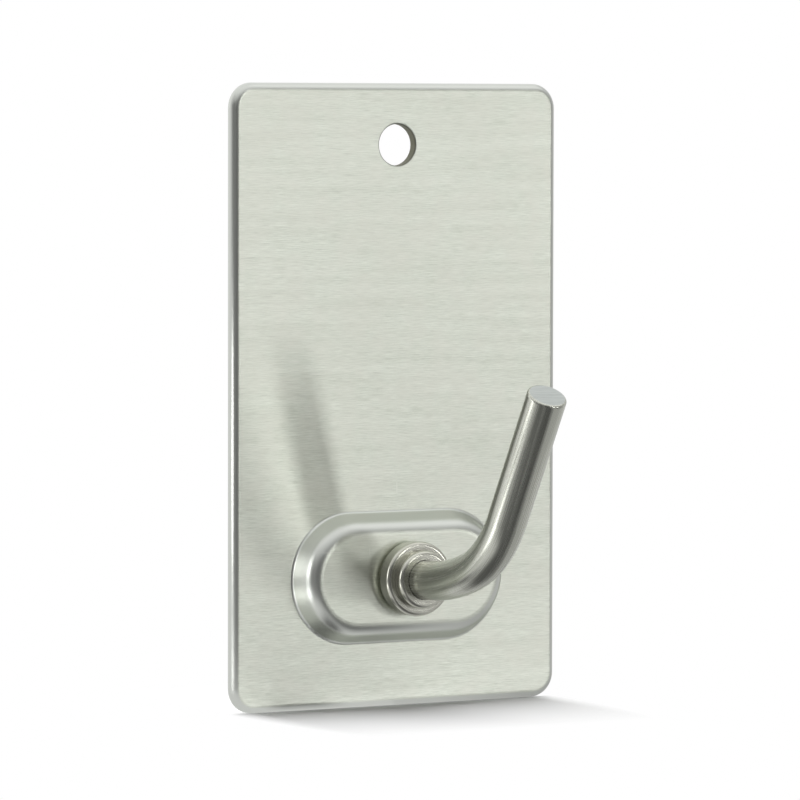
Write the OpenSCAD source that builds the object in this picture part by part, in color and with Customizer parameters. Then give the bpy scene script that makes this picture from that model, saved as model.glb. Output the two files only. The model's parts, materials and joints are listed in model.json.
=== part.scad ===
// Adhesive wall hook: a pressed stainless back plate with a drawn boss, a bent rod hook riveted
// through a turned collar, and a double-sided foam pad that holds the plate to the wall.
// The wall is the plane Y = 0 and the hook reaches out towards -Y, with +Z up.
// The origin is the middle of the pad's wall side, which is also the middle of the plate.

/* [Back plate] */
// Width of the plate
plate_w = 45; // [38:0.5:80]
// Height of the plate
plate_h = 75; // [60:0.5:120]
// Thickness of the steel sheet
plate_t = 1.2; // [0.8:0.1:1.6]
// Radius of the plate's corners in the front view
corner_r = 3; // [1.5:0.1:8]
// Radius rolled onto the front edge when the plate is blanked
edge_r = 0.95; // [0.2:0.05:1.1]

/* [Screw hole] */
// Diameter of the screw hole
hole_d = 5; // [3.5:0.1:7]
// Distance of the hole's centre below the top edge
hole_down = 7.4; // [6:0.1:14]
// Radius of the rolled rim of the screw hole
hole_edge_r = 0.2; // [0.05:0.05:0.4]

/* [Drawn boss] */
// Distance between the centres of the boss's two round ends
boss_span = 13.3; // [5:0.1:16]
// Distance that the boss stands out of the plate's front
boss_rise = 3; // [2.2:0.1:4]
// Angle by which the boss's wall leans in from square to the plate
wall_draft = 25; // [10:1:35]
// Outer radius of the crown, between the wall and the flat top
crown_r = 1.9; // [1.7:0.05:2.8]
// Radius of the fillet where the wall meets the plate
boss_fillet = 0.4; // [0.2:0.05:0.8]
// Flat width of the boss's top left showing round the collar
seat_margin = 0.7; // [0.3:0.05:2]
// Height of the boss's centre, and of the hook, above the bottom edge
hook_up = 15.7; // [12:0.1:30]

/* [Hook rod] */
// Diameter of the drawn rod
rod_d = 4.75; // [4.2:0.05:5.6]
// Radius of the gentle bend that leaves the collar
ease_r = 32; // [20:0.5:60]
// Angle of the gentle bend
ease_angle = 18.5; // [5:0.5:30]
// Radius of the main bend
bend_r = 15.4; // [8:0.1:25]
// Lean of the straight leg away from the wall, from the vertical
leg_lean = 30.4; // [10:0.1:50]
// Length of the straight leg from the bend to the tip
leg_l = 17.2; // [8:0.1:40]
// Radius of the tumbled edge round the flat tip
tip_r = 0.35; // [0.1:0.05:1]

/* [Collar] */
// Diameter of the collar's flange
flange_d = 9; // [8.2:0.1:10]
// Thickness of the flange
flange_h = 2.2; // [1.2:0.1:3.5]
// Radius of the flange's two edges
flange_edge_r = 0.5; // [0.1:0.05:0.55]
// Diameter of the neck that the rod leaves through
neck_d = 7; // [6.4:0.1:8]
// Length of the neck in front of the flange
neck_h = 1.35; // [0.6:0.05:3]
// Radius of the neck's front edge
neck_edge_r = 0.5; // [0.1:0.05:0.6]
// Diameter of the foot that stands on the boss
foot_d = 7.6; // [6.6:0.1:8.2]
// Height of the foot
foot_h = 0.4; // [0.2:0.05:1]
// Thickness of the collar's floor, which the rod's shoulder sits on
floor_h = 1.4; // [0.8:0.1:2.4]

/* [Rivet] */
// Diameter of the tenon turned on the rod's end
tenon_d = 3.4; // [2.8:0.1:3.8]
// Diameter of the tenon's peened head
head_d = 6; // [5:0.1:7.2]
// Height of the peened head
head_h = 1.1; // [0.7:0.05:1.3]
// Outer diameter of the rear washer
washer_d = 8.6; // [7.4:0.1:9.8]
// Thickness of the rear washer
washer_t = 0.6; // [0.4:0.05:0.7]

/* [Adhesive pad] */
// Thickness of the foam pad
pad_t = 1; // [0.5:0.1:2]
// Distance from the plate's edge to the pad's edge
pad_inset = 1.8; // [1:0.1:4]
// Radius of the pad's corners
pad_corner_r = 2; // [0.5:0.1:6]
// Margin of the pad's window round the screw hole
pad_hole_margin = 1.6; // [0.5:0.1:4]

/* [Hidden] */
$fn = 96;

// Clearances, and how far a cut runs past the faces that it opens
rod_gap = 0.05;
tenon_gap = 0.05;
bend_gap = 0.15;
overrun = 1;

// How much bending thins the rod, and how far one bend runs into the thicker length before it
bend_thin = 0.01;
bend_lap = 0.3;

// How much drawing thins each face of the boss's wall, and the angle by which the thicker crown and
// fillet run on past the wall's ends
draw_thin = 0.002;
draw_lap = 4;

// Levels out of the wall
plate_front = pad_t + plate_t;
hollow_top = pad_t + boss_rise;
boss_top = plate_front + boss_rise;
collar_h = foot_h + flange_h + neck_h;
washer_rear = hollow_top - washer_t;
shoulder_level = boss_top + floor_h;
bend_level = boss_top + collar_h + bend_gap;

// Places up and down the plate, from its middle
hole_y = plate_h / 2 - hole_down;
hook_y = hook_up - plate_h / 2;

// A rolled edge takes at most this share of the sheet or wall that carries it
roll_limit_share = 0.9;
edge_roll = min(edge_r, plate_t * roll_limit_share);
hole_roll = min(hole_edge_r, plate_t * roll_limit_share / 2);

// Section of the boss: a flat top wide enough for the collar, a crown, a leaning wall, a fillet and a
// rim, of which the outer half lies in the flat plate
crown_limit_share = 0.95;
crown = min(crown_r, crown_limit_share * (boss_rise / (1 - sin(wall_draft)) - boss_fillet));
wall_l = (boss_rise - (crown + boss_fillet) * (1 - sin(wall_draft))) / cos(wall_draft);
top_half = flange_d / 2 + seat_margin;
foot_half = top_half + (crown + boss_fillet) * cos(wall_draft) + wall_l * sin(wall_draft);
boss_rim = boss_fillet + plate_t / 2;

rod_r = rod_d / 2;
tenon_r = tenon_d / 2;
bend_angle = 90 - leg_lean - ease_angle;

steel = [0.78, 0.79, 0.75];
turned_steel = [0.72, 0.72, 0.66];
foam = [0.93, 0.93, 0.9];

// Stands a shape drawn flat on the wall, with its height out of the wall, upright in the part's frame
module on_wall() {
  rotate([90, 0, 0]) children();
}

// Moves to the hook's axis, at a level out of the wall
module at_hook(level) {
  translate([0, hook_y, level]) children();
}

module quarter_disc(r) {
  intersection() {
    circle(r);
    square(r);
  }
}

module half_disc(r) {
  intersection() {
    circle(r);
    translate([0, -r]) square([r, 2 * r]);
  }
}

// Part of a quarter ring, from an angle above the first axis up to the second axis
module ring_sector(r_in, r_out, start) {
  difference() {
    quarter_disc(r_out);
    circle(r_in);
    rotate(start) translate([0, -r_out - overrun]) square(r_out + overrun);
  }
}

// Bar from the axis out to a radius, with its upper outer corner rounded
module round_bar(r, h, edge) {
  square([r - edge, h]);
  translate([r - edge, 0]) square([edge, h - edge]);
  translate([r - edge, h - edge]) quarter_disc(edge);
}

module stadium(span, r) {
  for (side = [0, 180]) rotate(side) {
    translate([-span / 2, 0]) square([span, r]);
    translate([span / 2, 0]) half_disc(r);
  }
}

module rounded_rect(w, h, r) {
  square([w - 2 * r, h], center = true);
  for (side = [0, 180]) rotate(side) {
    translate([w / 2 - r, r - h / 2]) square([r, h - 2 * r]);
    translate([w / 2 - r, h / 2 - r]) quarter_disc(r);
    translate([w / 2 - r, r - h / 2]) mirror([0, 1]) quarter_disc(r);
  }
}

// Flat blank: a middle block, four rolled edges and four rolled corners
module plate_blank() {
  translate([0, 0, plate_t / 2])
    cube([plate_w - 2 * corner_r, plate_h - 2 * corner_r, plate_t], center = true);
  for (side = [0:3]) {
    across = side % 2 == 0 ? plate_w : plate_h;
    along = side % 2 == 0 ? plate_h : plate_w;
    rotate(90 * side) translate([across / 2 - corner_r, 0, 0]) rotate([90, 0, 0])
      linear_extrude(along - 2 * corner_r, center = true) round_bar(corner_r, plate_t, edge_roll);
    rotate(90 * side) translate([across / 2 - corner_r, along / 2 - corner_r, 0])
      rotate_extrude(angle = 90) round_bar(corner_r, plate_t, edge_roll);
  }
}

// The sheet's thickness from the boss's centre line out to the flat plate
module boss_section() {
  bend_start = wall_draft - draw_lap;
  translate([0, boss_rise]) square([top_half, plate_t]);
  translate([top_half, boss_rise + plate_t - crown]) {
    ring_sector(crown - plate_t, crown, bend_start);
    rotate(wall_draft) translate([crown - plate_t + draw_thin, -wall_l])
      square([plate_t - 2 * draw_thin, wall_l]);
  }
  translate([foot_half, plate_t + boss_fillet]) rotate(180)
    ring_sector(boss_fillet, boss_fillet + plate_t, bend_start);
  translate([foot_half, 0]) square([boss_rim, plate_t]);
}

// The boss as the press draws it: one section run along the middle and turned round both ends
module boss() {
  rotate([90, 0, 90]) linear_extrude(boss_span, center = true) {
    boss_section();
    mirror([1, 0]) boss_section();
  }
  for (side = [0, 180]) rotate(side) translate([boss_span / 2, 0, 0])
    rotate(-90) rotate_extrude(angle = 180) boss_section();
}

// Cutter for the screw hole, flared at the front by its rolled rim
module screw_hole() {
  r = hole_d / 2;
  rotate_extrude() {
    translate([0, -overrun]) square([r, plate_t + 2 * overrun]);
    translate([r, plate_t - hole_roll]) difference() {
      square([hole_roll, hole_roll + overrun]);
      translate([hole_roll, 0]) circle(hole_roll);
    }
  }
}

// Pressed sheet with a rolled front edge, a drawn boss that is hollow behind, a screw hole near the
// top and a hole in the boss for the hook's tenon
module back_plate() {
  color(steel) on_wall() translate([0, 0, pad_t]) difference() {
    union() {
      difference() {
        plate_blank();
        translate([0, hook_y, -overrun])
          linear_extrude(plate_t + 2 * overrun) stadium(boss_span, foot_half + boss_rim / 2);
      }
      translate([0, hook_y, 0]) boss();
    }
    translate([0, hole_y, 0]) screw_hole();
    translate([0, hook_y, boss_rise - overrun])
      cylinder(r = tenon_r + tenon_gap, h = plate_t + 2 * overrun);
  }
}

// Length of rod that starts at the origin along +Z and bends towards +Y. Laps run it into its neighbours.
module rod_bend(r, angle, thin, lap_in, lap_out) {
  lead = lap_in * 180 / (PI * r);
  tail = lap_out * 180 / (PI * r);
  translate([0, r, 0]) rotate([90, 0, -90]) rotate(-lead)
    rotate_extrude(angle = lead + angle + tail) translate([r, 0]) circle(rod_r - thin);
}

// Moves to the end of such a bend, and turns to its direction
module after_bend(r, angle) {
  translate([0, r * (1 - cos(angle)), r * sin(angle)]) rotate([-angle, 0, 0]) children();
}

// Root of the rod, from the peened head through the tenon and shoulder to where the bend starts
module rod_root() {
  dome_r = (head_d * head_d / 4 + head_h * head_h) / (2 * head_h);
  rotate_extrude() {
    intersection() {
      translate([0, washer_rear - head_h + dome_r]) circle(dome_r);
      translate([0, washer_rear - head_h]) square([head_d, head_h]);
    }
    translate([0, washer_rear]) square([tenon_r, shoulder_level - washer_rear]);
    translate([0, shoulder_level]) square([rod_r, bend_level - shoulder_level]);
  }
}

// One bent rod: its tenon goes through the collar, the boss and the washer and is peened over behind
module hook_rod() {
  color(steel) on_wall() at_hook(0) {
    rod_root();
    translate([0, 0, bend_level]) {
      rod_bend(ease_r, ease_angle, bend_thin, bend_lap, 0);
      after_bend(ease_r, ease_angle) {
        rod_bend(bend_r, bend_angle, 2 * bend_thin, bend_lap, bend_lap);
        after_bend(bend_r, bend_angle) rotate_extrude() round_bar(rod_r, leg_l, tip_r);
      }
    }
  }
}

// Turned collar: a foot on the boss, a wide flange and a neck, bored for the tenon and
// counterbored for the rod, whose shoulder sits on the floor that is left between
module collar() {
  color(turned_steel) on_wall() at_hook(boss_top) rotate_extrude() difference() {
    union() {
      square([foot_d / 2, foot_h]);
      translate([0, foot_h + flange_h / 2]) {
        round_bar(flange_d / 2, flange_h / 2, flange_edge_r);
        mirror([0, 1]) round_bar(flange_d / 2, flange_h / 2, flange_edge_r);
      }
      translate([0, foot_h + flange_h]) round_bar(neck_d / 2, neck_h, neck_edge_r);
    }
    translate([0, -overrun]) square([tenon_r + tenon_gap, collar_h + 2 * overrun]);
    translate([0, floor_h]) square([rod_r + rod_gap, collar_h + overrun]);
  }
}

// Thin washer that spreads the peened head's pull over the inside of the boss
module rivet_washer() {
  color(turned_steel) on_wall() at_hook(washer_rear) rotate_extrude()
    translate([tenon_r + tenon_gap, 0]) square([washer_d / 2 - tenon_r - tenon_gap, washer_t]);
}

// Double-sided foam pad, with a window round the screw hole
module adhesive_pad() {
  color(foam) on_wall() difference() {
    linear_extrude(pad_t)
      rounded_rect(plate_w - 2 * pad_inset, plate_h - 2 * pad_inset, pad_corner_r);
    translate([0, hole_y, -overrun])
      cylinder(r = hole_d / 2 + pad_hole_margin, h = pad_t + 2 * overrun);
  }
}

back_plate();
hook_rod();
collar();
rivet_washer();
adhesive_pad();
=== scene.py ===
import json
import math

import bmesh
import bpy
from mathutils import Matrix, Quaternion, Vector


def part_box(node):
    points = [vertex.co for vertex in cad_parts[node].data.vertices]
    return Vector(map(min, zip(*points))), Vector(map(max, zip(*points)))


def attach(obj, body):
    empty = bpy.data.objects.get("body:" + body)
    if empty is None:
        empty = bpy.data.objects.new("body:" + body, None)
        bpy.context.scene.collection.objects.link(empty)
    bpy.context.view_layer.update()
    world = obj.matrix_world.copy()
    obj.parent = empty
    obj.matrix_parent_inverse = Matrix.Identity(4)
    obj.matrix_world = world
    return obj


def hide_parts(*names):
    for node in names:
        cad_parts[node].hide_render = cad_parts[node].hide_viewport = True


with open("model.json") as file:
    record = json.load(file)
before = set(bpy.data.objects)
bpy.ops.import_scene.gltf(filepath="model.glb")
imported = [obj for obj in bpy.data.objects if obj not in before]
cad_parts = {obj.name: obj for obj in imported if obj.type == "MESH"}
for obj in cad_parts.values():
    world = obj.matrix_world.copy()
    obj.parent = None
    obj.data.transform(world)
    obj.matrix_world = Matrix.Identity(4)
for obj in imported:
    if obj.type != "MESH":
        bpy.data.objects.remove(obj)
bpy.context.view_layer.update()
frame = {"nodes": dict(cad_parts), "record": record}

# Adhesive pad: closed-cell acrylic foam with a thin film of adhesive on both faces, die-cut to the plate's
# outline with a window behind the screw hole. The foam is softer than the films, so its cut sides draw in
# between them and waver a little.
mm = 0.001
mounts = {mount["name"]: mount for mount in frame["record"]["mounts"]}
screw_hole = mounts["screw_hole"]
hole_r = screw_hole["dims"]["r_mm"] * mm
hole_z = screw_hole["pos_m"][2]
pad_low, pad_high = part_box("adhesive_pad")
pad_t = pad_high.y - pad_low.y
pad_corner_r = 2 * mm
window_margin = 1.6 * mm
window_r = hole_r + window_margin
film_t = 0.07 * mm
waist = 0.13 * mm
waver = 0.05 * mm
# The waver is the mean of two waves, in radians for each millimetre along the cut
long_wave = 1.7
short_wave = 4.1
wave_shift = 1
# Shares of the thickness and of the waist, from the plate side to the wall side
cut_profile_shares = [(0, 0), (0.06, 0), (0.15, 0.6), (0.32, 0.92), (0.5, 1),
                      (0.68, 0.92), (0.85, 0.6), (0.94, 0), (1, 0)]


def pad_outline(corner_steps=10, side_steps=28):
    """Points of the cut line and their outward directions, anticlockwise seen from the room."""
    half_w = pad_high.x - pad_corner_r
    half_h = pad_high.z - pad_corner_r
    centres = [(half_w, half_h), (-half_w, half_h), (-half_w, -half_h), (half_w, -half_h)]
    points = []
    for quarter, centre in enumerate(centres):
        for step in range(corner_steps + 1):
            angle = math.radians(90 * (quarter + step / corner_steps))
            out = Vector((math.cos(angle), math.sin(angle)))
            points.append((Vector(centre) + out * pad_corner_r, out))
        side_start = points[-1][0]
        side_end = Vector(centres[(quarter + 1) % len(centres)]) + out * pad_corner_r
        for step in range(1, side_steps):
            points.append((side_start.lerp(side_end, step / side_steps), out))
    return points


def window_outline(steps=48):
    """The window's edge, with outward directions that point to its middle."""
    points = []
    for step in range(steps):
        angle = -2 * math.pi * step / steps
        out = Vector((math.cos(angle), math.sin(angle)))
        points.append((Vector((0, hole_z)) + out * window_r, -out))
    return points


pad_mesh = bmesh.new()
# Edges round each of the two flat faces, by the place of their ring in the profile
rims = {0: [], len(cut_profile_shares) - 1: []}
for outline in (pad_outline(), window_outline()):
    rings = []
    for depth_share, waist_share in cut_profile_shares:
        ring = []
        run = 0.0
        for index, (point, out) in enumerate(outline):
            run += (point - outline[index - 1][0]).length / mm if index else 0
            wave = waver * (math.sin(long_wave * run) + math.sin(short_wave * run + wave_shift)) / 2
            drawn_in = point - out * (waist + wave) * waist_share
            ring.append(pad_mesh.verts.new((drawn_in.x, pad_low.y + pad_t * depth_share, drawn_in.y)))
        rings.append(ring)
    for near, far in zip(rings, rings[1:]):
        for index in range(len(near)):
            after = (index + 1) % len(near)
            side = pad_mesh.faces.new((near[index], near[after], far[after], far[index]))
            side.smooth = True
    for level, rim in rims.items():
        ring = rings[level]
        rim += [pad_mesh.edges.get((ring[i], ring[(i + 1) % len(ring)])) for i in range(len(ring))]
for rim in rims.values():
    bmesh.ops.triangle_fill(pad_mesh, use_beauty=True, edges=rim)
bmesh.ops.recalc_face_normals(pad_mesh, faces=pad_mesh.faces)
pad_data = bpy.data.meshes.new("foam_pad")
pad_mesh.to_mesh(pad_data)
pad_mesh.free()
pad = bpy.data.objects.new("foam_pad", pad_data)
bpy.context.scene.collection.objects.link(pad)


def add(tree, kind, sockets=None, **settings):
    """Adds a node. A socket's value is a number, a colour or the output that is linked to it."""
    made = tree.nodes.new("ShaderNode" + kind)
    for name, value in settings.items():
        setattr(made, name, value)
    for name, value in (sockets or {}).items():
        if isinstance(value, bpy.types.NodeSocket):
            tree.links.new(value, made.inputs[name])
        else:
            made.inputs[name].default_value = value
    return made


def sum_of(tree, operation, *values):
    """One step of arithmetic on numbers or outputs."""
    return add(tree, "Math", dict(enumerate(values)), operation=operation).outputs[0]


def ramp(tree, value, low, high, to_low=0.0, to_high=1.0):
    """Straight ramp from one span of values to another, held at both ends."""
    sockets = {"Value": value, "From Min": low, "From Max": high, "To Min": to_low, "To Max": to_high}
    return add(tree, "MapRange", sockets).outputs[0]


def spread(tree, noise, to_low=0.0, to_high=1.0, margin=0.3):
    """Noise mostly keeps a margin from zero and one. Spreads what lies between over a span of values."""
    return ramp(tree, noise, margin, 1 - margin, to_low, to_high)


def mixed(tree, share, first, second):
    """A share of the second colour over the first."""
    return add(tree, "Mix", {0: share, 6: first, 7: second}, data_type="RGBA").outputs[2]


def in_mm(tree):
    """The surface point in millimetres of the part's own frame. The node trees measure in these."""
    point = add(tree, "TexCoord").outputs["Object"]
    return add(tree, "VectorMath", {0: point, "Scale": 1 / mm}, operation="SCALE").outputs[0]


def new_material(name):
    """A new material, its node tree and its shader."""
    made = bpy.data.materials.new(name)
    made.use_nodes = True
    return made, made.node_tree, made.node_tree.nodes["Principled BSDF"]


def surface(tree, shader, colour, roughness, metallic):
    """Gives a shader its colour and roughness, and says whether it is metal."""
    tree.links.new(colour, shader.inputs["Base Color"])
    tree.links.new(roughness, shader.inputs["Roughness"])
    shader.inputs["Metallic"].default_value = metallic


def marked(tree, shader, height, strength, depth):
    """Lets marks too small to model, given as a height over the surface, catch the light."""
    marks = add(tree, "Bump", {"Height": height, "Strength": strength, "Distance": depth})
    tree.links.new(marks.outputs[0], shader.inputs["Normal"])


cells_to_mm = 6.5
cell_span = (0.1, 0.7)
blotches_to_mm = 0.35
foam_dark, foam_light = (0.62, 0.61, 0.57, 1), (0.9, 0.89, 0.85, 1)
film_dark, film_light = (0.78, 0.77, 0.7, 1), (0.86, 0.85, 0.8, 1)
foam_rough = 0.85
film_smoother = (0.4, 0.55)
dimple_strength = 0.35
dimple_depth = 0.06 * mm
foam, tree, shader = new_material("pad_foam")
point = in_mm(tree)
depth = add(tree, "SeparateXYZ", {0: point}).outputs["Y"]
middle_depth = (pad_low.y + pad_high.y) / 2
from_middle = sum_of(tree, "ABSOLUTE", sum_of(tree, "SUBTRACT", depth, middle_depth / mm))
film = ramp(tree, from_middle, (pad_t / 2 - film_t) / mm, (pad_t / 2 - film_t / 2) / mm)
cells = add(tree, "TexVoronoi", {"Vector": point, "Scale": cells_to_mm}).outputs["Distance"]
blotches = add(tree, "TexNoise", {"Vector": point, "Scale": blotches_to_mm, "Detail": 3.0}).outputs["Fac"]
foam_colour = mixed(tree, ramp(tree, cells, *cell_span), foam_dark, foam_light)
film_colour = mixed(tree, spread(tree, blotches, margin=0.35), film_dark, film_light)
smoother = sum_of(tree, "MULTIPLY", film, spread(tree, blotches, *film_smoother))
roughness = sum_of(tree, "SUBTRACT", foam_rough, smoother)
surface(tree, shader, mixed(tree, film, foam_colour, film_colour), roughness, metallic=0.0)
marked(tree, shader, cells, dimple_strength, dimple_depth)
pad_data.materials.append(foam)
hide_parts("adhesive_pad")
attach(pad, "root")

# Back plate: stainless sheet brushed across its width, blanked so that its front edge rolls over, pierced for
# a screw and drawn forward into a boss. The draw and the blanking burnish the crown and the rolled edges.
plate = frame["nodes"]["back_plate"]

lines_group = bpy.data.node_groups.new("brush_lines", "ShaderNodeTree")
for name in ("Point", "Stroke"):
    lines_group.interface.new_socket(name, in_out="INPUT", socket_type="NodeSocketVector")
for name in ("Lines", "Patches", "Strays"):
    lines_group.interface.new_socket(name, in_out="OUTPUT", socket_type="NodeSocketFloat")
stray_span = (0.68, 0.78)
inlet = lines_group.nodes.new("NodeGroupInput")
outlet = lines_group.nodes.new("NodeGroupOutput")
stretched = add(lines_group, "VectorMath", {0: inlet.outputs["Point"], 1: inlet.outputs["Stroke"]},
                operation="DIVIDE").outputs[0]
fine = add(lines_group, "TexNoise", {"Vector": stretched, "Scale": 1.0, "Detail": 4.0, "Roughness": 0.7})
broad = add(lines_group, "TexNoise", {"Vector": stretched, "Scale": 0.12, "Detail": 2.0})
stray = add(lines_group, "TexNoise", {"Vector": stretched, "Scale": 0.8, "Detail": 1.0, "Distortion": 0.2})
lines_group.links.new(fine.outputs["Fac"], outlet.inputs["Lines"])
lines_group.links.new(broad.outputs["Fac"], outlet.inputs["Patches"])
lines_group.links.new(ramp(lines_group, stray.outputs["Fac"], *stray_span), outlet.inputs["Strays"])


def brushed(tree, point, stroke):
    """Brush lines at a surface point. The stroke gives their length and spacing along each axis."""
    made = add(tree, "Group", node_tree=lines_group)
    tree.links.new(point, made.inputs["Point"])
    made.inputs["Stroke"].default_value = stroke
    return made.outputs


def blend(tree, share, first, second):
    """A share of the second value over the first."""
    return add(tree, "Mix", {0: share, 2: first, 3: second}).outputs[0]


def hypotenuse(tree, one, other):
    """The straight distance over two lengths at right angles."""
    other_square = sum_of(tree, "MULTIPLY", other, other)
    return sum_of(tree, "SQRT", sum_of(tree, "MULTIPLY_ADD", one, one, other_square))


sheet_stroke = (1.9, 0.1, 0.1)
line_share, patch_share = 0.8, 0.2
sheet_dark, sheet_light = (0.53, 0.56, 0.48, 1), (0.8, 0.83, 0.75, 1)
sheet_rough = (0.3, 0.42)
groove_strength = 0.15
groove_depth = 0.02 * mm
# How the brushing stretches a highlight, up the plate
brush_stretch = 0.35
clouds_to_mm = 0.3
cloud_share = 0.4
cloud_colour = (0.69, 0.69, 0.62, 1)
stray_share = 0.3
stray_colour = (0.4, 0.41, 0.36, 1)
# How squarely the sheet faces the room where it is fully burnished, and where it is fully brushed
facing_span = (0.94, 0.995)
burnished_colour = (0.66, 0.68, 0.64, 1)
burnished_rough = 0.32
sheet_steel, tree, shader = new_material("plate_steel")
point = in_mm(tree)
place = add(tree, "SeparateXYZ", {0: point}).outputs
lines = brushed(tree, point, sheet_stroke)
facing = add(tree, "SeparateXYZ", {0: add(tree, "NewGeometry").outputs["Normal"]}).outputs["Y"]
flat = ramp(tree, sum_of(tree, "ABSOLUTE", facing), *facing_span)
tone = sum_of(tree, "ADD", sum_of(tree, "MULTIPLY", lines["Lines"], line_share),
              sum_of(tree, "MULTIPLY", lines["Patches"], patch_share))
steel = mixed(tree, spread(tree, tone, margin=0.34), sheet_dark, sheet_light)
clouds = add(tree, "TexNoise", {"Vector": point, "Scale": clouds_to_mm, "Detail": 3.0}).outputs["Fac"]
steel = mixed(tree, spread(tree, clouds, 0.0, cloud_share, margin=0.35), steel, cloud_colour)
steel = mixed(tree, sum_of(tree, "MULTIPLY", lines["Strays"], stray_share), steel, stray_colour)
steel = mixed(tree, flat, burnished_colour, steel)
finish = blend(tree, flat, burnished_rough, spread(tree, lines["Lines"], *sheet_rough))

# Wear: a few bright scratches. Each has its place across and up the plate and its half length in both ways,
# in millimetres.
scratches = [(-9.6, -18.4, 2.2, 0.06), (-5.5, -18.5, 0.06, 0.4), (0, -11.1, 0.06, 0.6),
             (-14.2, 4.3, 0.7, 0.07), (-11.3, 2.8, 0.6, 0.06), (9.5, 14.2, 0.5, 0.06)]
scratch_end_shares = (1.3, 0.6)
scratch_share = 0.7
scratch_colour = (0.86, 0.87, 0.82, 1)
scratch_rough = 0.7
scratched = 0.0
for x, z, half_x, half_z in scratches:
    across = sum_of(tree, "DIVIDE", sum_of(tree, "SUBTRACT", place["X"], x), half_x)
    upward = sum_of(tree, "DIVIDE", sum_of(tree, "SUBTRACT", place["Z"], z), half_z)
    apart = sum_of(tree, "MAXIMUM", sum_of(tree, "ABSOLUTE", across), sum_of(tree, "ABSOLUTE", upward))
    scratched = sum_of(tree, "MAXIMUM", scratched, ramp(tree, apart, *scratch_end_shares))
steel = mixed(tree, sum_of(tree, "MULTIPLY", scratched, scratch_share), steel, scratch_colour)
finish = blend(tree, scratched, finish, scratch_rough)

# The punch shears the hole's wall and leaves it torn and dull. Its colour is also darkened as painted shade
# inside the hole
torn_depth = 0.03 * mm
torn_fade = 0.15 * mm
torn_and_shade_colour = (0.2, 0.2, 0.15, 1)
torn_rough = 0.55
above_hole = sum_of(tree, "SUBTRACT", place["Z"], hole_z / mm)
from_hole = hypotenuse(tree, above_hole, place["X"])
torn_and_shaded = ramp(tree, from_hole, (hole_r + torn_fade) / mm, (hole_r + torn_depth) / mm)
steel = mixed(tree, torn_and_shaded, steel, torn_and_shade_colour)
finish = blend(tree, torn_and_shaded, finish, torn_rough)
surface(tree, shader, steel, finish, metallic=1.0)
marked(tree, shader, lines["Lines"], groove_strength, groove_depth)
shader.inputs["Anisotropic"].default_value = brush_stretch
tree.links.new(add(tree, "CombineXYZ", {"Z": 1.0}).outputs[0], shader.inputs["Tangent"])


def dress(node, material):
    """Gives a solid the one material that it is made of."""
    node.data.materials.clear()
    node.data.materials.append(material)


dress(plate, sheet_steel)

# Rivet washer: a plain washer blanked from thin steel strip. It lies inside the boss, under the rod's peened
# head, and spreads the rivet's pull over the sheet.
washer = frame["nodes"]["rivet_washer"]
strip_stroke = (3.0, 0.2, 0.2)
strip_dark, strip_light = (0.5, 0.5, 0.48, 1), (0.66, 0.66, 0.63, 1)
strip_rough = (0.35, 0.5)
strip_steel, tree, shader = new_material("washer_steel")
lines = brushed(tree, in_mm(tree), strip_stroke)
strip_colour = mixed(tree, lines["Lines"], strip_dark, strip_light)
surface(tree, shader, strip_colour, spread(tree, lines["Patches"], *strip_rough), metallic=1.0)
dress(washer, strip_steel)

# Collar: a stainless ring turned on a lathe, with fine rings left by the tool on its flange, neck and foot.
# The rod's tenon passes through it and clamps it against the boss.
collar = frame["nodes"]["collar"]
collar_low, collar_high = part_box("collar")
hook_z = (collar_low.z + collar_high.z) / 2
# The tool's lines lie round the collar in radians, and along it and out from its axis in millimetres
turned_stroke = (1.5, 0.09, 0.09)
turned_dark, turned_light = (0.52, 0.52, 0.45, 1), (0.7, 0.7, 0.63, 1)
turned_rough = (0.18, 0.28)
turned_steel, tree, shader = new_material("collar_steel")
centred = add(tree, "VectorMath", {0: in_mm(tree), 1: (0, 0, -hook_z / mm)}, operation="ADD").outputs[0]
axes = add(tree, "SeparateXYZ", {0: centred}).outputs
reach = hypotenuse(tree, axes["X"], axes["Z"])
turn = sum_of(tree, "ARCTAN2", axes["X"], axes["Z"])
unrolled = add(tree, "CombineXYZ", {"X": turn, "Y": axes["Y"], "Z": reach}).outputs[0]
lines = brushed(tree, unrolled, turned_stroke)
turned_colour = mixed(tree, spread(tree, lines["Lines"]), turned_dark, turned_light)
surface(tree, shader, turned_colour, spread(tree, lines["Lines"], *turned_rough), metallic=1.0)
marked(tree, shader, lines["Lines"], groove_strength, groove_depth)
dress(collar, turned_steel)

# Hook rod: cold-drawn stainless rod, cut off square at the tip, bent twice over round formers and riveted at
# its root. The drawing die leaves fine lines along it that follow both bends, and the saw leaves lines on the
# cut end.
rod = frame["nodes"]["hook_rod"]
leg = mounts["hook_leg"]
leg_way = Vector(leg["axis"])
# The rod's path, in millimetres as the node trees measure
leg_start = Vector(leg["pos_m"]) / mm - leg_way * leg["dims"]["length_mm"] / 2
root_gap = 0.15
ease_r = 32
ease_turn = math.radians(18.5)
bend_r = 15.4
bend_end_turn = math.atan2(leg_way.z, -leg_way.y)
ease_run = ease_r * ease_turn
bend_run = bend_r * (bend_end_turn - ease_turn)
# Centres of the two formers, as distance out from the wall and height
ease_centre = (root_gap - collar_low.y / mm, hook_z / mm + ease_r)
bend_centre = (-leg_start.y - leg_way.z * bend_r, leg_start.z - leg_way.y * bend_r)
drawn_stroke = (0.16, 0.16, 11.0)
drawn_dark, drawn_light = (0.48, 0.49, 0.43, 1), (0.72, 0.73, 0.66, 1)
drawn_rough = (0.18, 0.32)
die_mark_share = 0.35
die_mark_colour = (0.34, 0.33, 0.28, 1)
sawn_stroke = (3.0, 0.12, 0.12)
sawn_dark, sawn_light = (0.42, 0.45, 0.43, 1), (0.62, 0.65, 0.63, 1)
sawn_rough = (0.3, 0.45)
# How squarely the surface faces along the leg where the tip's broken edge starts, and where the cut is flat
cut_facing_span = (0.93, 0.99)

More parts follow.
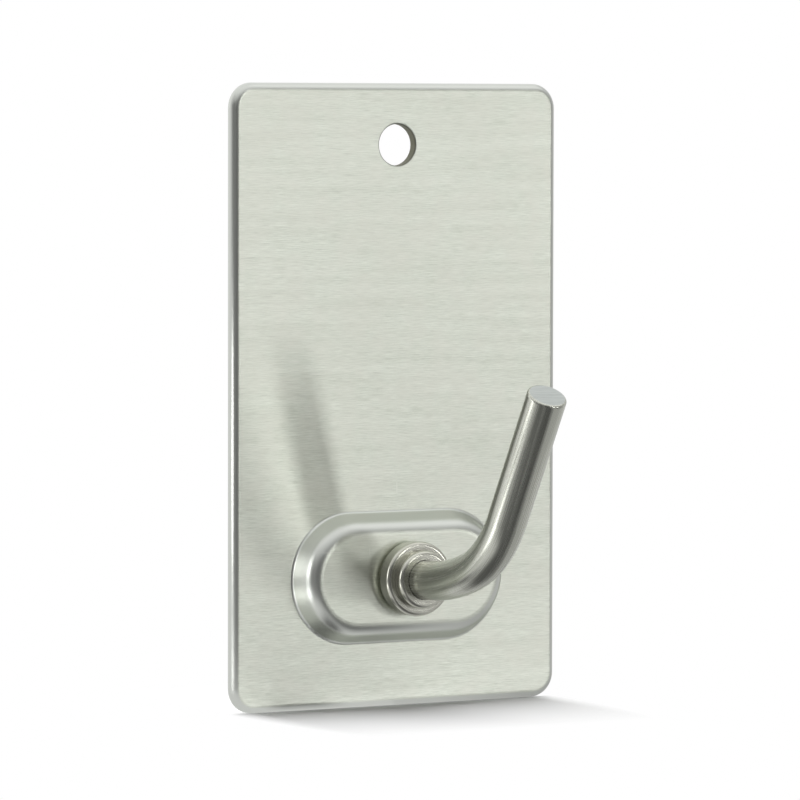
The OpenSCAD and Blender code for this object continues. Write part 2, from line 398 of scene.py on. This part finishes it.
drawn_steel, tree, shader = new_material("rod_steel")
point = in_mm(tree)
place = add(tree, "SeparateXYZ", {0: point}).outputs
out = sum_of(tree, "MULTIPLY", place["Y"], -1.0)


def on_path(rise, run):
    """A place on the straightened rod: across it, up through it and along it."""
    return add(tree, "CombineXYZ", {"X": place["X"], "Y": rise, "Z": run}).outputs[0]


def round_former(centre, radius, run_before, turn_before):
    """Places on a stretch that is bent round a former, and the turn that the stretch has made there."""
    beyond = sum_of(tree, "SUBTRACT", out, centre[0])
    below = sum_of(tree, "SUBTRACT", centre[1], place["Z"])
    turn = sum_of(tree, "ARCTAN2", beyond, below)
    inward = sum_of(tree, "SUBTRACT", radius, hypotenuse(tree, beyond, below))
    run = sum_of(tree, "MULTIPLY_ADD", sum_of(tree, "SUBTRACT", turn, turn_before), radius, run_before)
    return on_path(inward, run), turn


def along(vector, way):
    """How far a vector reaches along a direction."""
    return add(tree, "VectorMath", {0: vector, 1: way}, operation="DOT_PRODUCT").outputs["Value"]


def past(start, value, earlier, after):
    """Takes the later stretch of the rod where a value is past its start."""
    share = sum_of(tree, "GREATER_THAN", value, start)
    return add(tree, "Mix", {0: share, 4: earlier, 5: after}, data_type="VECTOR").outputs[1]


root_run = sum_of(tree, "SUBTRACT", out, ease_centre[0])
root = on_path(sum_of(tree, "SUBTRACT", place["Z"], hook_z / mm), root_run)
ease, _ = round_former(ease_centre, ease_r, 0, 0)
bend, bend_turn = round_former(bend_centre, bend_r, ease_run, ease_turn)
from_start = add(tree, "VectorMath", {0: point, 1: leg_start}, operation="SUBTRACT").outputs[0]
leg_run = along(from_start, leg_way)
leg_rise = along(from_start, (0, leg_way.z, -leg_way.y))
straight = on_path(leg_rise, sum_of(tree, "ADD", leg_run, ease_run + bend_run))
path = past(0.0, root_run, root, ease)
path = past(ease_turn, bend_turn, path, bend)
path = past(0.0, leg_run, path, straight)
lines = brushed(tree, path, drawn_stroke)
sawn = brushed(tree, path, sawn_stroke)
cut_end = ramp(tree, along(add(tree, "NewGeometry").outputs["Normal"], leg_way), *cut_facing_span)
drawn_colour = mixed(tree, spread(tree, lines["Lines"]), drawn_dark, drawn_light)
die_marks = sum_of(tree, "MULTIPLY", lines["Strays"], die_mark_share)
drawn_colour = mixed(tree, die_marks, drawn_colour, die_mark_colour)
sawn_colour = mixed(tree, spread(tree, sawn["Lines"]), sawn_dark, sawn_light)
drawn_finish = spread(tree, lines["Lines"], *drawn_rough)
finish = blend(tree, cut_end, drawn_finish, spread(tree, sawn["Lines"], *sawn_rough))
surface(tree, shader, mixed(tree, cut_end, drawn_colour, sawn_colour), finish, metallic=1.0)
marked(tree, shader, blend(tree, cut_end, lines["Lines"], sawn["Lines"]), groove_strength, groove_depth)
dress(rod, drawn_steel)

# Floor: a sheet of white paper that the plate's bottom edge stands on. It takes the soft shadow near the part
# and runs out to white all round. Two lamps reach lower than it lies, so it holds back no light. In the steel
# the studio's carpet shows in its place.
plate_low, plate_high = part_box("back_plate")
floor_z = plate_low.z
floor_half = 600 * mm
paper_shade = 0.9
# The shadow's reach from the plate's bottom edge, in millimetres. It is drawn in at the sides.
shadow_span = (4, 30)
plate_corner_r = 4
sideways_stretch = 7.0


def card_corners(middle, across, upward):
    """Corners of a flat card from its middle and half of its width and height."""
    return [middle + across * x + upward * y for x, y in ((-1, -1), (1, -1), (1, 1), (-1, 1))]


def bare_material(name):
    """A new material and its emptied node tree."""
    made = bpy.data.materials.new(name)
    made.use_nodes = True
    made.node_tree.nodes.clear()
    return made, made.node_tree


def grey(shade):
    """A colour as bright as its shade."""
    return (shade, shade, shade, 1)


def from_plate_foot(tree):
    """Distance on the floor from the plate's bottom edge, with sideways ones drawn out."""
    place = add(tree, "SeparateXYZ", {0: in_mm(tree)}).outputs
    edge_half = plate_high.x / mm - plate_corner_r
    beside = sum_of(tree, "SUBTRACT", sum_of(tree, "ABSOLUTE", place["X"]), edge_half)
    beside = sum_of(tree, "MULTIPLY", sum_of(tree, "MAXIMUM", beside, 0.0), sideways_stretch)
    return hypotenuse(tree, beside, place["Y"])


def seen(tree):
    """One for what the camera sees straight on, in metal or through glass."""
    ray = add(tree, "LightPath").outputs
    straight = sum_of(tree, "MAXIMUM", ray["Is Camera Ray"], ray["Is Glossy Ray"])
    return sum_of(tree, "MAXIMUM", straight, ray["Is Transmission Ray"])


one_face = [(0, 1, 2, 3)]
floor_mesh = bpy.data.meshes.new("floor")
floor_corners = card_corners(Vector((0, 0, floor_z)), Vector((floor_half, 0, 0)), Vector((0, floor_half, 0)))
floor_mesh.from_pydata(floor_corners, [], one_face)
floor = bpy.data.objects.new("floor", floor_mesh)
floor.visible_shadow = False
floor.visible_glossy = False
bpy.context.scene.collection.objects.link(floor)
paper, tree = bare_material("white_paper")
far = ramp(tree, from_plate_foot(tree), *shadow_span)
matt = add(tree, "BsdfDiffuse", {"Color": grey(paper_shade)}).outputs[0]
white = add(tree, "Emission", {"Color": grey(1)}).outputs[0]
shown = add(tree, "MixShader", {0: sum_of(tree, "MULTIPLY", far, seen(tree)), 1: matt, 2: white}).outputs[0]
tree.links.new(shown, add(tree, "OutputMaterial").inputs["Surface"])
floor_mesh.materials.append(paper)

# Studio: a white room whose front wall, behind the camera, is dim. A tall narrow soft box at the right throws
# the leg's shadow on the plate, a wider one lights from further right, and a lamp above and behind lights the
# floor. The wall, the carpet and two glowing cards show only as reflections in the steel.
outside_shade = 0.12
world = bpy.data.worlds.new("studio")
bpy.context.scene.world = world
world.use_nodes = True
tree = world.node_tree
tree.nodes.clear()
colour = mixed(tree, seen(tree), grey(outside_shade), grey(1))
sky = add(tree, "Background", {"Color": colour, "Strength": 1.0})
tree.links.new(sky.outputs[0], add(tree, "OutputWorld").inputs["Surface"])


def reflected_only(name, corners, faces, material):
    """A part of the studio that shows only as a reflection in the steel."""
    mesh = bpy.data.meshes.new(name)
    mesh.from_pydata(corners, [], faces)
    mesh.materials.append(material)
    made = bpy.data.objects.new(name, mesh)
    made.visible_camera = False
    made.visible_diffuse = False
    made.visible_shadow = False
    bpy.context.scene.collection.objects.link(made)


def between(tree, value, start, full, fading, end):
    """One from full to fading, and nothing before the start and past the end."""
    return sum_of(tree, "MINIMUM", ramp(tree, value, start, full), ramp(tree, value, end, fading))


# Brightness of the room at turns round from straight in front of the hook, right-hand turns positive
room_shades = [(-180, 0.78), (-110, 0.8), (-98, 0.55), (-86, 0.24), (-62, 0.15), (-48, 0.15), (-42, 0.36),
               (-36, 0.13), (15, 0.09), (40, 0.1), (55, 0.22), (70, 0.46), (88, 0.62), (180, 0.68)]
ceiling_shade = 0.72
# Heights and places in millimetres. Painted shade on the carpet stands for the floor's shadow before the
# plate's foot, between two limits on its left half, and under the hook, and a painted lighter band lies
# evenly on it at the right.
ceiling_span = (450, 850)
painted_foot_shade = 0.12
foot_limits = (1.5, 4, 8, 28)
foot_side_limits = (-18, -15, -10, -6)
hook_near, hook_far = -20, -33
hook_span = (16, 6)
painted_right_light = 0.5
right_limits = (6, 20, 30, 50)
floor_skin = 1
room, tree = bare_material("room")
place = add(tree, "SeparateXYZ", {0: in_mm(tree)}).outputs
turn = sum_of(tree, "ARCTAN2", place["X"], sum_of(tree, "SUBTRACT", hook_far, place["Y"]))
shades = add(tree, "ValToRGB", {0: ramp(tree, turn, -math.pi, math.pi)})
stops = shades.color_ramp.elements
while len(stops) < len(room_shades):
    stops.new(0.5)
for stop, (angle, shade) in zip(stops, room_shades):
    stop.position = (angle + 180) / 360
    stop.color = grey(shade)
lit = mixed(tree, ramp(tree, place["Z"], *ceiling_span), shades.outputs[0], grey(ceiling_shade))
# Painted shadow on the carpet, before the plate's foot and under the hook
at_foot = sum_of(tree, "MULTIPLY", between(tree, from_plate_foot(tree), *foot_limits),
                 between(tree, place["X"], *foot_side_limits))
nearest = sum_of(tree, "MINIMUM", sum_of(tree, "MAXIMUM", place["Y"], hook_far), hook_near)
from_hook = hypotenuse(tree, sum_of(tree, "SUBTRACT", place["Y"], nearest), place["X"])
painted_shade = sum_of(tree, "MAXIMUM", at_foot, ramp(tree, from_hook, *hook_span))
lit = mixed(tree, painted_shade, lit, grey(painted_foot_shade))
# A painted lighter band on the carpet at the right, standing for lit paper
on_floor = ramp(tree, place["Z"], floor_z / mm + floor_skin, floor_z / mm)
at_right = sum_of(tree, "MULTIPLY", on_floor, between(tree, place["X"], *right_limits))
lit = mixed(tree, at_right, lit, grey(painted_right_light))
glow = add(tree, "Emission", {"Color": lit}).outputs[0]
tree.links.new(glow, add(tree, "OutputMaterial").inputs["Surface"])

wall_r = 1400 * mm
wall_rise = 1550 * mm
wall_turn = 125
wall_steps = 50
wall_corners = []
for step in range(wall_steps + 1):
    angle = math.radians(wall_turn * (2 * step / wall_steps - 1))
    for z in (floor_z, wall_rise):
        wall_corners.append((wall_r * math.sin(angle), -wall_r * math.cos(angle), z))
wall_faces = [(2 * i, 2 * i + 2, 2 * i + 3, 2 * i + 1) for i in range(wall_steps)]
reflected_only("front_wall", wall_corners, wall_faces, room)
carpet_half = 1400 * mm
carpet_drop = 0.1 * mm
carpet_middle = Vector((0, 0, floor_z - carpet_drop))
carpet = card_corners(carpet_middle, Vector((carpet_half, 0, 0)), Vector((0, carpet_half, 0)))
reflected_only("carpet", carpet, one_face, room)


def glowing(name, shade):
    """A plain card's material, as bright as its shade."""
    made, tree = bare_material(name)
    light = add(tree, "Emission", {"Strength": shade}).outputs[0]
    tree.links.new(light, add(tree, "OutputMaterial").inputs["Surface"])
    return made


def out_at(turn, rise, reach):
    """A place in the room by its turn round from straight in front, its rise in degrees and its distance."""
    turn, rise = math.radians(turn), math.radians(rise)
    return Vector((math.sin(turn) * math.cos(rise), -math.cos(turn) * math.cos(rise), math.sin(rise))) * reach


# The high card shows in the boss's upper wall
high_middle = out_at(turn=60, rise=55, reach=600 * mm)
high_half = 175 * mm
high_glow = 1.15
high_turn = high_middle.to_track_quat("Z", "Y")
high_across = high_turn @ Vector((high_half, 0, 0))
high_upward = high_turn @ Vector((0, high_half, 0))
high_card = card_corners(high_middle, high_across, high_upward)
reflected_only("high_card", high_card, one_face, glowing("high_card", high_glow))

# The left card lies on the floor, with a second leaf upright over its far side. Both show in the boss's
# rounded left end.
left_half_depth = Vector((0, 8, 0)) * mm
lying_middle = Vector((-49, -8, -36.5)) * mm
lying_half_w = Vector((13, 0, 0)) * mm
upright_middle = Vector((-60, -8, -8)) * mm
upright_half_h = Vector((0, 0, 13)) * mm
left_glow = 3.3
left_card = card_corners(lying_middle, lying_half_w, left_half_depth)
left_card += card_corners(upright_middle, left_half_depth, upright_half_h)
reflected_only("left_card", left_card, [(0, 1, 2, 3), (4, 5, 6, 7)], glowing("left_card", left_glow))


def lamp(name, place, aim, size, watts, height=None, lean=0):
    """A soft lamp that points at its aim, round unless it has a height of its own."""
    data = bpy.data.lights.new(name, "AREA")
    data.shape = "RECTANGLE" if height else "DISK"
    data.size = size
    if height:
        data.size_y = height
    data.energy = watts
    made = bpy.data.objects.new(name, data)
    made.location = place
    made.rotation_mode = "QUATERNION"
    aimed = (Vector(aim) - Vector(place)).to_track_quat("-Z", "Y")
    made.rotation_quaternion = aimed @ Quaternion((0, 0, 1), math.radians(lean))
    bpy.context.scene.collection.objects.link(made)
    return made


plate_middle = (0, 0, 0)
lamp("strip_box", out_at(turn=19.2, rise=6.5, reach=1160 * mm), plate_middle,
     size=70 * mm, height=720 * mm, lean=14, watts=1.3)
lamp("key_box", out_at(turn=39, rise=1, reach=1300 * mm), plate_middle,
     size=260 * mm, height=240 * mm, watts=1.0)
overhead_place = Vector((45, 140, 360)) * mm
overhead = lamp("overhead_lamp", overhead_place, (0, 0, floor_z), size=440 * mm, watts=2.5)
overhead.visible_glossy = False

# Camera: the photograph's viewpoint, to the left of the part and a little above it, with a long lens.
# Its turn, rise and roll are in degrees, and its aim is beside the middle of the plate's back.
camera_turn, camera_rise, camera_roll = -30.27, 2.91, 0.1
distance = 674 * mm
aim_right, aim_up = 0.96 * mm, -0.63 * mm
image_px = 800
focal_px = 5591
sensor_w = 36
back = out_at(camera_turn, camera_rise, reach=1)
level = out_at(camera_turn + 90, rise=0, reach=1)
upward = back.cross(level)
roll = math.radians(camera_roll)
right = level * math.cos(roll) + upward * math.sin(roll)
up = upward * math.cos(roll) - level * math.sin(roll)
camera_data = bpy.data.cameras.new("camera")
camera_data.sensor_width = sensor_w
camera_data.lens = focal_px * sensor_w / image_px
camera = bpy.data.objects.new("camera", camera_data)
plate_back = Vector((0, pad_low.y, 0))
standpoint = plate_back + back * distance + right * aim_right + up * aim_up
camera.matrix_world = Matrix.Translation(standpoint) @ Matrix((right, up, back)).transposed().to_4x4()
bpy.context.scene.collection.objects.link(camera)
bpy.context.scene.camera = camera
bpy.context.scene.view_settings.view_transform = "Standard"
